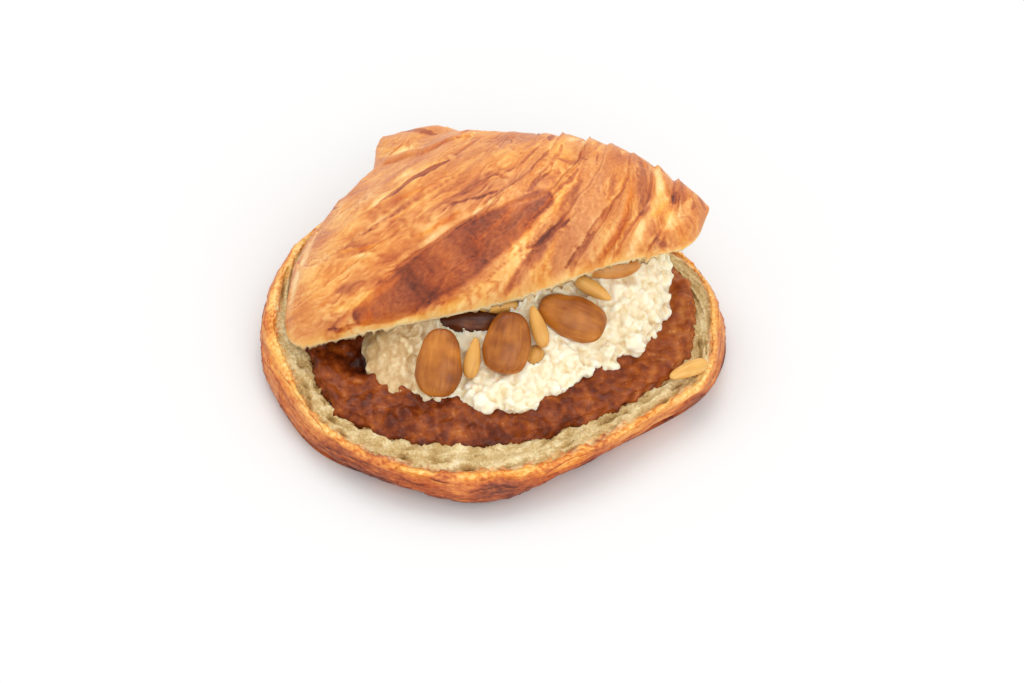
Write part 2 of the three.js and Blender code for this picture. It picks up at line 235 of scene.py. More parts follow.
def ring_mesh(name, rings, start, end, attributes, flip=False):
    """Closed object through rings [ring, around, 3], with a point that closes each end. Rings that
    turn the other way are flipped, so that the faces look out."""
    if flip:
        rings = rings[:, ::-1]
        attributes = {key: values[:, ::-1] for key, values in attributes.items()}
    count, around = rings.shape[:2]
    points = np.concatenate([rings.reshape(-1, 3), [start], [end]])
    here = np.arange(around)
    after = (here + 1) % around
    low = (np.arange(count - 1) * around)[:, None]
    quads = np.stack([low + here, low + after, low + around + after, low + around + here], -1)
    first = np.stack([after, here, np.full(around, count * around)], -1)
    last_ring = (count - 1) * around
    last = np.stack([last_ring + here, last_ring + after, np.full(around, count * around + 1)], -1)
    corners = np.concatenate([quads.reshape(-1), first.reshape(-1), last.reshape(-1)])
    sizes = np.concatenate([np.full(quads.size // 4, 4), np.full(2 * around, 3)])
    return mesh_object(name, points, corners, sizes, attributes)


def new_object(name, data):
    thing = bpy.data.objects.new(name, data)
    bpy.context.collection.objects.link(thing)
    return thing


def mesh_object(name, points, corners, sizes, attributes):
    mesh = bpy.data.meshes.new(name)
    mesh.vertices.add(len(points))
    set_points(mesh, points)
    mesh.loops.add(len(corners))
    mesh.loops.foreach_set("vertex_index", corners)
    mesh.polygons.add(len(sizes))
    mesh.polygons.foreach_set("loop_start", np.concatenate([[0], np.cumsum(sizes)[:-1]]))
    mesh.polygons.foreach_set("use_smooth", np.ones(len(sizes), bool))
    mesh.update(calc_edges=True)
    for key, values in attributes.items():
        set_attribute(mesh, key, values)
    return new_object(name, mesh)


def set_attribute(mesh, key, values):
    """A number at each point, or a vector where a grid of vectors is given."""
    kind, field, width = ("FLOAT_VECTOR", "vector", 3) if np.ndim(values) == 3 else ("FLOAT", "value", 1)
    values = np.asarray(values, float).reshape(-1, width)
    spare = len(mesh.vertices) - len(values)
    values = np.concatenate([values, np.repeat(values[-1:], spare, 0)])
    mesh.attributes.new(key, kind, "POINT").data.foreach_set(field, values.ravel())


def mesh_vectors(mesh, key):
    values = np.empty(3 * len(mesh.vertices))
    mesh.vertices.foreach_get(key, values)
    return values.reshape(-1, 3)


def mesh_points(mesh):
    return mesh_vectors(mesh, "co") / MM + DRAWING_CENTRE


def set_points(mesh, points):
    mesh.vertices.foreach_set("co", ((points - DRAWING_CENTRE) * MM).ravel())


def metres(place_mm):
    return Vector((np.asarray(place_mm, float) - DRAWING_CENTRE) * MM)


def camera_axes():
    """Where the camera stands, and the ways ahead, aside and up in its picture."""
    lean = math.radians(CAMERA_ELEVATION)
    ahead = np.array([0, math.cos(lean), -math.sin(lean)])
    up = np.array([0, math.sin(lean), math.cos(lean)])
    return CAMERA_TARGET - ahead * CAMERA_DISTANCE, ahead, np.array([1.0, 0, 0]), up


def solid_tree(node):
    """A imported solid, ready for finding where a ray meets it."""
    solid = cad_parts[node]
    corners = [solid.matrix_world @ vertex.co for vertex in solid.data.vertices]
    return BVHTree.FromPolygons(corners, [tuple(face.vertices) for face in solid.data.polygons])


def neighbour_mean(values, edges):
    """Each point's mean over the points that its edges lead to."""
    total = np.zeros_like(values)
    count = np.zeros(len(values))
    for here, there in ((0, 1), (1, 0)):
        np.add.at(total, edges[:, here], values[edges[:, there]])
        np.add.at(count, edges[:, here], 1)
    return total / np.maximum(count, 1).reshape((-1,) + (1,) * (values.ndim - 1))


def hollows(mesh, rounds=4):
    """How deep each point lies between its neighbours, in millimetres; crests are below 0."""
    edges = np.empty(2 * len(mesh.edges), np.int32)
    mesh.edges.foreach_get("vertices", edges)
    edges = edges.reshape(-1, 2)
    point = mesh_points(mesh)
    smoothed = point
    for _ in range(rounds):
        smoothed = neighbour_mean(smoothed, edges)
    return ((smoothed - point) * mesh_vectors(mesh, "normal")).sum(-1)


def dress(piece, nodes, material):
    """The piece stands for its solids, rides with them and takes the material."""
    # The hollow attribute drives the materials' painted shade in hollows and painted highlights on
    # crests.
    set_attribute(piece.data, "hollow", hollows(piece.data))
    piece.data.materials.clear()
    piece.data.materials.append(material)
    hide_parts(*nodes)
    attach(piece, "root")


# ---------------------------------------------------------------- materials
def srgb(red, green, blue):
    """Linear colour of a shade given in the usual 0 to 255 steps."""
    steps = np.array([red, green, blue]) / 255
    linear = np.where(steps <= 0.04045, steps / 12.92, ((steps + 0.055) / 1.055) ** 2.4)
    return (*linear, 1.0)


class Shader:
    """A material's node tree, with short calls for the nodes that this scene uses."""

    def __init__(self, name, **settings):
        self.material = bpy.data.materials.new(name)
        self.material.use_nodes = True
        self.tree = self.material.node_tree
        self.surface = self.tree.nodes["Principled BSDF"]
        for socket, value in settings.items():
            self.surface.inputs[socket.replace("_", " ")].default_value = value

    def node(self, kind, inputs=None, **properties):
        node = self.tree.nodes.new("ShaderNode" + kind)
        for key, value in properties.items():
            setattr(node, key, value)
        for socket, value in (inputs or {}).items():
            self.feed(node.inputs[socket], value)
        return node

    def feed(self, socket, value):
        if isinstance(value, bpy.types.NodeSocket):
            self.tree.links.new(value, socket)
        else:
            socket.default_value = value

    def attribute(self, name):
        return self.node("Attribute", attribute_name=name).outputs["Fac"]

    def place(self):
        return self.node("TexCoord").outputs["Object"]

    def noise(self, size_mm, detail=3.0, roughness=0.6, vector=None):
        inputs = {"Scale": 1 / (size_mm * MM), "Detail": detail, "Roughness": roughness}
        node = self.node("TexNoise", inputs)
        self.feed(node.inputs["Vector"], vector or self.place())
        return node.outputs["Fac"]

    def math(self, operation, a, b=0.0, clamp=False):
        node = self.node("Math", operation=operation, use_clamp=clamp)
        self.feed(node.inputs[0], a)
        self.feed(node.inputs[1], b)
        return node.outputs[0]

    def add(self, first, *rest):
        for value in rest:
            first = self.math("ADD", first, value)
        return first

    def varied(self, amount, *noise, half=0.2):
        """Noise, as a change of up to this amount either way."""
        return self.remap(self.noise(*noise), 0.5 - half, 0.5 + half, -amount, amount)

    def remap(self, value, low, high, out_low=0.0, out_high=1.0):
        inputs = {"Value": value, "From Min": low, "From Max": high}
        inputs.update({"To Min": out_low, "To Max": out_high})
        return self.node("MapRange", inputs).outputs["Result"]

    def ramp(self, value, stops):
        """Colour that runs through the stops, each a place and a shade in 0 to 255 steps."""
        node = self.node("ValToRGB", {"Fac": value})
        elements = node.color_ramp.elements
        while len(elements) < len(stops):
            elements.new(0.5)
        for element, (place, *shade) in zip(elements, stops):
            element.position = place
            element.color = srgb(*shade)
        return node.outputs["Color"]

    def mix(self, share, a, b):
        node = self.node("Mix", data_type="RGBA")
        self.feed(node.inputs[0], share)
        self.feed(node.inputs[6], a)
        self.feed(node.inputs[7], b)
        return node.outputs[2]

    def bump(self, height, strength, distance_mm):
        inputs = {"Height": height, "Strength": strength, "Distance": distance_mm * MM}
        self.feed(self.surface.inputs["Normal"], self.node("Bump", inputs).outputs["Normal"])

    def colour(self, value):
        self.feed(self.surface.inputs["Base Color"], value)

    def roughness(self, value):
        self.feed(self.surface.inputs["Roughness"], value)


# Baked crust from pale to dark: dull where it is dry, and glowing where it is thin and glossy. The dull
# shades are partly a painted sheen, the pale mauve of soft light over the crust.
DULL_STOPS = [
    (0.0, 248, 214, 162),
    (0.25, 236, 178, 116),
    (0.45, 216, 142, 84),
    (0.65, 188, 108, 62),
    (0.82, 154, 78, 44),
    (1.0, 104, 46, 28),
]
GLOW_STOPS = [
    (0.0, 252, 218, 140),
    (0.25, 242, 178, 84),
    (0.45, 224, 134, 46),
    (0.65, 196, 94, 28),
    (0.82, 154, 60, 20),
    (1.0, 92, 34, 14),
]
CRUMB_STOPS = [
    (0.0, 150, 112, 60),
    (0.35, 196, 164, 106),
    (0.65, 230, 210, 162),
    (1.0, 252, 244, 216),
]


def crust_material(name, lined, bumpy):
    """Baked crust that turns to crumb where the crumb attribute says so. The grain attribute is a
    place that changes slowly along the layers and fast across them; lined is how much the finest
    layers darken the crust."""
    shader = Shader(
        name, Specular_IOR_Level=0.3, Subsurface_Radius=(0.002, 0.001, 0.0005), Subsurface_Scale=1.0,
        Subsurface_Weight=0.08, Coat_Weight=0.08, Coat_Roughness=0.3,
    )
    grain = shader.node("Attribute", attribute_name="grain").outputs["Vector"]
    lines = shader.add(shader.varied(lined, 0.9, 4, 0.6, grain), shader.varied(0.08, 3.4, 3, 0.5, grain))
    kept = shader.remap(shader.attribute("calm"), 0, 1, 1, 0.25)
    lines = shader.math("MULTIPLY", lines, kept)
    specks = shader.remap(shader.noise(0.5, 2), 0.64, 0.72, 0, -0.14)
    hollow = shader.attribute("hollow")
    # Painted shade: the crust is darkened in its creases and hollows, and painted paler on its crests as
    # a painted highlight.
    crease_shade = shader.remap(hollow, -0.12, 0.16, -0.1, 0.2)
    bake = shader.add(shader.attribute("bake"), shader.varied(0.04, 1.2, 4), specks, crease_shade, lines)
    glow = shader.varied(0.22, 5, 3, 0.5, grain, half=0.15)
    glow = shader.math("ADD", shader.attribute("glow"), glow, clamp=True)
    crust = shader.mix(glow, shader.ramp(bake, DULL_STOPS), shader.ramp(bake, GLOW_STOPS))
    # Painted shade: the crumb is darkened in its hollows and lightened on its crests.
    crumb_hollow_shade = shader.remap(hollow, -0.2, 0.3, 0.1, -0.3)
    crumb = shader.add(shader.attribute("crumb_tone_and_shade"), shader.varied(0.2, 0.8, 4, 0.7), crumb_hollow_shade)
    share = shader.attribute("crumb")
    shader.colour(shader.mix(share, crust, shader.ramp(crumb, CRUMB_STOPS)))
    shader.roughness(shader.remap(share, 0, 1, 0.42, 0.88))
    shader.bump(shader.noise(0.6, 4, 0.65), bumpy, 0.22)
    return shader.material


# ---------------------------------------------------------------- base
BASE_AROUND = 760
CRUMB_RELIEF = 0.5
CRUMB_LUMP_SIZE = 9.0
RIM_PLACE = 7.0


def base_curves(around):
    """Outline, hollow edge and lean of the base at even places; z of the first two is the rim."""
    stations = np.array(BASE_STATIONS, float)
    outline = stations[:, [0, 1, 3]]
    tangent = np.roll(outline, -1, 0) - np.roll(outline, 1, 0)
    inward = np.stack([-tangent[:, 1], tangent[:, 0], 0 * tangent[:, 0]], -1)
    inward /= np.linalg.norm(inward, axis=1)[:, None]
    hollow = outline + inward * stations[:, 2:3]
    t = np.arange(around) / around
    return catmull(outline, t, True), catmull(hollow, t, True), catmull(stations[:, 4], t, True)


def base_row(curves, across, leaning, height, from_rim):
    outer, inner, lean = curves
    row = outer + (inner - outer) * (across + lean * leaning)[:, None]
    row[:, 2] = row[:, 2] - height if from_rim else height
    return row


def base_grid():
    """Points of the base from below its middle, out round the crust and in over the crumb."""
    curves = base_curves(BASE_AROUND)
    middle = np.tile([*FLOOR_MIDDLE, 0.0], (BASE_AROUND, 1))
    rows = [middle]
    rows += [base_row(curves, *row) for row in BASE_ROWS]
    rows.append(middle + [0, 0, HOLLOW_Z])
    steps = (3, 5, 10, 15, 15, 12, 10, 12, 20, 14, 4, 2)
    place = np.concatenate([k + np.arange(n) / n for k, n in enumerate(steps)])[1:]
    grid = catmull(np.array(rows), place / (len(rows) - 1))
    grid[..., 2] = np.maximum(grid[..., 2], 0)
    return grid, place[:, None]


def make_base():
    grid, place = base_grid()
    xyz = np.moveaxis(grid, -1, 0)
    _, y, z = xyz
    side = smooth(2, 3.2, place) * (1 - smooth(6.5, 7.2, place))
    top = smooth(6.9, 7.9, place)
    run = path_length(grid, 1)
    deep = path_length(grid, 0)
    leaf = z / 2.4 + 0.9 * fractal(run / 22, z / 9, 0, 11)
    share = leaf % 1.0
    torn_here = smooth(-0.4, 0.3, noise(run / 10, np.floor(leaf) * 1.7, 3, 12))
    flake = 1.25 * torn_here * (np.minimum(smooth(0, 0.12, share), 1 - share) - 0.4)
    lines = ridges(run / 7 + fractal(run / 5, z / 3, 1, 21), z / 0.9, 0, 13)
    knobs = fractal(run / 6, z / 2, 0, 14)
    grain = fractal(*xyz / 1.1, 22, 2)
    rim = np.exp(-((place - RIM_PLACE + 0.2) / 0.75) ** 2)
    beads = np.maximum(0, 0.5 - cells(*xyz / 1.5, 23))
    fibre = ridges(run / 4.5, deep / 1.5, 0.4 * noise(run / 6, deep / 6, 0, 24), 16)
    holes = smooth(0.2, 0.8, fractal(run / 5.5, deep / 2.6, z / 3, 15))
    folds = fractal(run / 9, deep / 4.5, 0, 25, 2)
    ragged = fractal(*xyz / 1.3, 17)
    crumb_relief = CRUMB_RELIEF * lumps(grid, CRUMB_LUMP_SIZE) + 0.8 * folds - 1.7 * holes
    crumb_relief = crumb_relief + 0.25 * fibre + 0.5 * ragged
    crust_relief = flake + 0.2 * knobs - 0.12 * lines + 0.08 * grain
    height = side * crust_relief + top * crumb_relief + rim * (0.4 * ragged + 0.4 * beads)
    fade = smooth(0.05, 1.2, z) * (1 - smooth(9.6, 10.6, place))
    grid = grid + grid_normals(grid, True) * (height * fade)[..., None]
    grid[..., 2] = np.maximum(grid[..., 2], 0)
    edge = 0.45 * fractal(run / 5, 0, 0, 18) + 0.35 * fractal(*xyz / 1.4, 19)
    crumb = smooth(7.3, 8.3, place + edge)
    golden = np.exp(-((place - RIM_PLACE + 0.1 + 0.4 * edge) / 1.1) ** 2)
    patches = smooth(-0.1, 0.9, fractal(run / 15, z / 5, 0, 20))
    cracks = smooth(0.72, 0.95, lines) * smooth(-0.2, 0.6, noise(run / 8, z / 3, 9, 26))
    layer = noise(np.floor(leaf) * 3.1, run / 14, 5, 27)
    edge_line = torn_here * (1 - smooth(0.0, 0.12, share))
    front = 1 - smooth(-50, -25, y)
    bake = 0.5 + 0.2 * front + 0.2 * patches + 0.26 * cracks + 0.24 * layer
    bake = bake + 0.26 * edge_line - 0.42 * golden
    glow = 0.42 + 0.5 * golden - 0.25 * patches + 0.35 * cracks + 0.3 * edge_line - 0.4 * layer
    # The crumb's tone, with painted shade: darker in the holes, and lighter on the folds, fibres and
    # ragged bits that stand up.
    crumb_tone_and_shade = 0.48 - 0.55 * holes + 0.14 * fibre + 0.28 * folds + 0.2 * ragged
    attributes = {"bake": bake, "glow": glow, "crumb": crumb, "crumb_tone_and_shade": crumb_tone_and_shade}
    attributes["grain"] = grid * [0.25, 0.25, 1.1] * MM
    start, end = (*FLOOR_MIDDLE, 0.0), (*FLOOR_MIDDLE, HOLLOW_Z)
    piece = ring_mesh("base_dough", grid, start, end, attributes, flip=True)
    dress(piece, ["croissant_base"], crust_material("base_crust_look", 0.12, 0.4))


# ---------------------------------------------------------------- lid
LID_COLUMNS = 420
LID_TOP_STEPS = 196
LID_UNDER_STEPS = 30
STRIP_SAMPLES = 2201
# How many rings and steps a coarser look at the lid passes over.
COARSE = 6
LIP = 1.7
# The share of the front edge, from the right tip, that shows the cut; and what streaks can add up to.
CUT_END = 0.6
MOST_BAKED = 0.33
# From this strip on, at the left, the fine layers lean over by this much in the picture.
LEFT_STRIP = 6
LEFT_LEAN = 30.0
# What each kind of streak adds: to the bake, to the glow, to the height in mm; how much it calms
# the wrinkles; and where it ends crisply (0 nowhere, 1 toward the back horn, 2 on both sides).
STREAK_KINDS = {
    "mahogany": (0.36, -0.05, 0.1, 1.0, 2),
    "groove": (0.2, 0.1, -0.9, 0.0, 0),
    "dark": (0.3, -0.05, 0.1, 0.0, 1),
    "brown": (0.2, -0.3, 0.15, 0.2, 0),
    # The mauve kind is partly a painted sheen: it turns the crust to its dull, pale shades.
    "mauve": (0.02, -0.5, 0.25, 0.75, 0),
    "orange": (0.18, 0.6, -0.25, 0.0, 0),
    "gold": (-0.17, 0.35, 0.1, 0.3, 0),
    "pale": (-0.3, -0.05, 0.3, 0.2, 1),
    "crack": (0.5, 0.3, -0.6, 0.0, 0),
}
# The lid's main marks: kind, half width in mm, and the line that each follows, read off the photograph in
# pixels of its frame.
LID_MARKS = {
    "left_sheen": ("pale", 3.2, ((318, 230), (301, 262), (291, 300))),
    "left_crease": ("orange", 0.9, ((328, 253), (352, 250), (385, 243))),
    "left_crease_lip": ("pale", 0.7, ((345, 258), (366, 253), (392, 242))),
    "left_brown": ("brown", 2.2, ((338, 291), (358, 286), (380, 281))),
    "left_flap": ("pale", 0.6, ((303, 312), (320, 300), (343, 286))),
    "left_gold": ("gold", 1.8, ((335, 312), (365, 300), (400, 277))),
    "left_foot": ("dark", 1.3, ((328, 329), (345, 327), (362, 321))),
    "patch_tip": ("orange", 2.0, ((363, 324), (370, 312))),
    "patch": ("mahogany", 9.2, ((365, 315), (392, 302), (430, 276), (463, 252), (500, 228), (540, 200))),
    "patch_gold": ("gold", 2.3, ((400, 322), (440, 311), (474, 292), (505, 268), (532, 230), (575, 180))),
    "patch_lip": ("pale", 0.8, ((503, 206), (534, 197), (545, 193))),
    "horn_dark": ("dark", 2.2, ((398, 133), (415, 131), (436, 134))),
    "horn_gold": ("gold", 1.6, ((378, 151), (400, 149), (422, 147))),
    "horn_lip": ("pale", 1.1, ((378, 157), (398, 151), (430, 141))),
    "behind_lip": ("groove", 1.9, ((386, 161), (400, 157), (432, 146), (474, 133))),
    "upper_pale": ("pale", 0.9, ((392, 183), (412, 172), (448, 160))),
    "upper_dark": ("mahogany", 1.9, ((380, 200), (412, 181), (447, 162))),
    "upper_orange": ("orange", 1.1, ((396, 199), (430, 183), (450, 168))),
    "upper_gold": ("gold", 2.4, ((395, 218), (450, 179), (483, 154))),
    "upper_brown": ("brown", 2.0, ((432, 212), (480, 179), (500, 169))),
    "middle_pale": ("pale", 1.4, ((463, 215), (497, 200))),
    "middle_dark": ("dark", 0.9, ((440, 216), (456, 204), (502, 189))),
    "middle_orange": ("orange", 1.0, ((420, 236), (446, 221), (458, 211))),
    "waist_brown": ("brown", 2.3, ((497, 300), (532, 258), (560, 215), (580, 180))),
    "waist_crack": ("crack", 0.35, ((531, 280), (542, 266), (554, 240))),
    "smooth_tan": ("mauve", 6.5, ((560, 272), (576, 240), (598, 180))),
    "right_lip": ("pale", 0.9, ((629, 166), (623, 206), (601, 246), (590, 261))),
    "right_rust": ("orange", 1.4, ((602, 258), (622, 226), (632, 190))),
    "right_crack": ("crack", 0.4, ((606, 252), (618, 232))),
    "right_brown": ("brown", 2.2, ((641, 160), (646, 196), (641, 214))),
    "right_gold": ("pale", 2.6, ((655, 166), (660, 200), (641, 235), (630, 252))),
    "tip_crease": ("orange", 0.8, ((671, 197), (654, 217))),
    "tip_brown": ("brown", 1.6, ((680, 182), (696, 193), (705, 208))),
    "tip_pale": ("pale", 2.6, ((664, 228), (682, 214), (690, 200))),
    "ridge_brown": ("brown", 1.5, ((560, 160), (585, 160))),
}
# Small streaks between the main marks, laid along the strips by a seeded draw.
SMALL_STREAKS = 110
SMALL_KINDS = ("brown", "gold", "pale", "orange", "dark")
SMALL_SHARES = (0.3, 0.26, 0.22, 0.12, 0.1)


def strip_edges(v):
    """Station fraction of each strip edge, at v across the lid."""
    rows = [np.zeros_like(v)]
    for k, (front, back) in enumerate(STRIP_EDGES):
        order = k / (len(STRIP_EDGES) - 1)
        turned = np.minimum(v / (TURNED_FIRST + (TURNED_LAST - TURNED_FIRST) * order), 1)
        rows.append(back + (front - back) * (1 - turned ** (1 + order)) ** 2)
    rows.append(np.ones_like(v))
    return np.array(rows)


def along_at(strips, v):
    edges = strip_edges(v)
    whole = np.minimum(np.floor(strips).astype(int), STRIPS - 1)
    low = np.take_along_axis(edges, whole[None], 0)[0]
    high = np.take_along_axis(edges, whole[None] + 1, 0)[0]
    return low + (high - low) * (strips - whole)


def lid_curves():
    """Front edge, back edge and rise of the lid at its stations."""
    return [np.array(column, float) for column in zip(*LID_STATIONS)]


def lid_top(strips, v):
    front, back, rise = lid_curves()
    u = along_at(strips, v)
    lift = np.maximum(catmull(rise, u), 0)
    point = catmull(front, u)
    point += (catmull(back, u) - point) * ((1 - np.cos(np.pi * v)) / 2)[..., None]
    point[..., 2] += lift * np.maximum(np.sin(np.pi * v), 0) ** LID_ARCH
    return point, np.minimum(1, lift / LIP_FADE_RISE)


def lid_under(strips, v):
    front, back, rise = lid_curves()
    start = catmull(front, along_at(strips, 0 * v))
    stop = catmull(back, along_at(strips, 0 * v + 1))
    lift = np.maximum(catmull(rise, along_at(strips, 0 * v + 0.5)), 0)
    point = start + (stop - start) * ((1 - np.cos(np.pi * v)) / 2)[..., None]
    fade = np.minimum(1, lift / LIP_FADE_RISE)
    point[..., 2] += LID_UNDER_RISE * fade * np.sin(np.pi * v)
    return point


def strip_columns():
    """Strip places of the lid's rings, evenly spaced along it between its two ends."""
    fine = np.linspace(0, STRIPS, STRIP_SAMPLES)
    length = np.zeros(len(fine))
    for v in (0.25, 0.6):
        path = lid_top(fine, np.full_like(fine, v))[0]
        length[1:] += np.cumsum(np.linalg.norm(np.diff(path, axis=0), axis=1))
    even = np.linspace(0, length[-1], LID_COLUMNS + 2)[1:-1]
    return np.interp(even, length, fine)


def mark_tracks():
    """Kind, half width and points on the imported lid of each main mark."""
    tree = solid_tree("croissant_lid")
    eye, ahead, aside, up = camera_axes()
    focal = CAMERA_LENS / SENSOR_WIDTH * PHOTO_SIZE[0]
    for kind, half, line in LID_MARKS.values():
        pixels = catmull(line, np.linspace(0, 1, 10 * len(line))) - np.array(PHOTO_SIZE) / 2
        rays = ahead * focal + aside * pixels[:, :1] - up * pixels[:, 1:]
        hits = [tree.ray_cast(metres(eye), Vector(ray))[0] for ray in rays]
        yield kind, half, np.array([hit for hit in hits if hit]) / MM + DRAWING_CENTRE


def small_tracks():
    """Kind, half width and points of each small streak, along its strip."""
    rng = np.random.default_rng(47)
    for kind in rng.choice(SMALL_KINDS, SMALL_STREAKS, p=SMALL_SHARES):
        strip, drift = rng.uniform(0.4, STRIPS - 0.4), rng.normal(0, 0.12)
        v, length = rng.uniform(0.02, 0.9), rng.uniform(0.05, 0.16)
        t = np.linspace(0, 1, 16)
        strips = np.clip(strip + drift * t, 0.1, STRIPS - 0.1)
        yield kind, rng.uniform(0.35, 1.3), lid_top(strips, np.minimum(v + length * t, 0.97))[0]


def streak_mask(strips, point, half, track, crisp):
    """How strongly a streak covers each point; crisp is as in STREAK_KINDS."""
    reach = 2.2 * half + 1
    near = ((point > track.min(0) - reach) & (point < track.max(0) + reach)).all(-1)
    away = np.linalg.norm(point[near][:, None] - track[None], axis=-1)
    nearest = away.argmin(1)
    t = nearest / (len(track) - 1)
    thin = np.sin(np.pi * (0.1 + 0.8 * t)) ** 0.6
    q = away.min(1) / (half * thin)
    coarse = point[::COARSE, ::COARSE].reshape(-1, 3)
    under = np.linalg.norm(coarse[:, None] - track[None], axis=-1).argmin(0)
    toward = strips[near] - strips[::COARSE, ::COARSE].ravel()[under][nearest]
    hard = (toward * crisp > 0) | (crisp == 2)
    inner = np.where(hard, 0.75, 0.25)
    outer = np.where(hard, 1.05, 1.45)
    mask = np.zeros(point.shape[:-1])
    mask[near] = 1 - smooth(inner, outer, q)
    return mask


def lid_streaks(strips, point):
    """Sum of what all the streaks add to bake, glow, height and calm."""
    xyz = np.moveaxis(point, -1, 0)
    warp = [0.6 * fractal(*xyz / 6, seed, 2) for seed in (41, 42, 43)]
    moved = point + np.stack(warp, -1)
    total = np.zeros((4,) + point.shape[:-1])
    for kind, half, track in [*mark_tracks(), *small_tracks()]:
        *adds, crisp = STREAK_KINDS[kind]
        mask = streak_mask(strips, moved, half, track, crisp)
        total += mask * np.array(adds)[:, None, None]
    return total


def left_layers(point):
    """Millimetres across and along the fine layers at the lid's left."""
    _, _, aside, up = camera_axes()
    lean = math.radians(LEFT_LEAN)
    across = up * math.cos(lean) - aside * math.sin(lean)
    along = aside * math.cos(lean) + up * math.sin(lean)
    return point @ across, point @ along


def lid_relief(strips, v, point, calm):
    """Height of the crust over its smooth form, how much darker that makes it, with painted shade in the
    strips' creases and a painted highlight on their crests, its broad patches, and a place that follows
    its fine layers."""
    xyz = np.moveaxis(point, -1, 0)
    along = path_length(point, 1)
    across = path_length(point, 0)
    wander = 0.12 * fractal(across / 14, along / 20, 0, 31)
    moved = strips + wander * smooth(0.3, 1, strips)
    share = moved % 1.0
    number = np.floor(moved)
    strength = np.clip(0.8 + 0.8 * noise(number * 1.7, along / 26, 0.5, 32), 0.1, 1.4)
    strength = strength * (1 - 0.85 * calm) * (1 - 0.7 * smooth(LEFT_STRIP, LEFT_STRIP + 1, strips))
    rising = smooth(0, 0.09, share)
    falling = 1 - np.maximum((share - 0.09) / 0.91, 0) ** 0.8
    lip = LIP * strength * (np.minimum(rising, falling) - 0.5)
    left_across, left_along = left_layers(point)
    across = np.where(number < LEFT_STRIP, across, left_across)
    along = np.where(number < LEFT_STRIP, along, left_along)
    bend = 1.3 * fractal(across / 10, along / 13, 4, 33)
    fold = (across / 5.5 + bend) % 1.0
    fold_on = smooth(0.0, 0.7, noise(across / 9, along / 12, 8, 34))
    fold_lip = 0.8 * fold_on * (np.minimum(smooth(0, 0.14, fold), 1 - fold) - 0.4)
    wrinkle = ridges(across / 1.9 + bend, along / 8 + 0.5 * bend, 0, 35)
    ahead = 1 - 0.85 * smooth(0.45, 0.72, v) * (number < LEFT_STRIP)
    wrinkle_on = smooth(-0.3, 0.5, noise(across / 12, along / 16, 2, 40)) * (1 - calm) * ahead
    streaky = fractal(across / 1.6 + bend, along / 9, 0, 44, 3) * ahead * (1 - 0.6 * calm)
    grain = fractal(*xyz / 1.1, 45, 3)
    blisters = np.maximum(0, 0.45 - cells(*xyz / 1.4, 36))
    swell = fractal(*xyz / 16, 37, 2)
    height = lip + fold_lip * (1 - 0.6 * calm) + 0.38 * wrinkle_on * (wrinkle - 0.4)
    height = height + 0.1 * streaky + 0.07 * grain + 0.2 * blisters + 0.6 * swell
    # Painted shade in the strips' creases, and a painted highlight on their crests.
    strip_crease_shade = np.exp(-(share / 0.07) ** 2) + np.exp(-((1 - share) / 0.07) ** 2)
    strip_crest_highlight = np.exp(-((share - 0.16) / 0.09) ** 2)
    darker = 0.05 * streaky - 0.07 * wrinkle_on * (wrinkle - 0.4) + 0.12 * swell
    darker = darker + strength * (0.18 * strip_crease_shade - 0.15 * strip_crest_highlight) - 0.1 * fold_on * (fold_lip > 0.2)
    patches = fractal(across / 8, along / 22, 3, 46, 2) * (1 - 0.7 * calm)
    grain_place = np.stack([across + 1.5 * bend, 0.14 * along, 0.2 * xyz[2]], -1) * MM
    return height, darker + 0.13 * patches, patches, grain_place


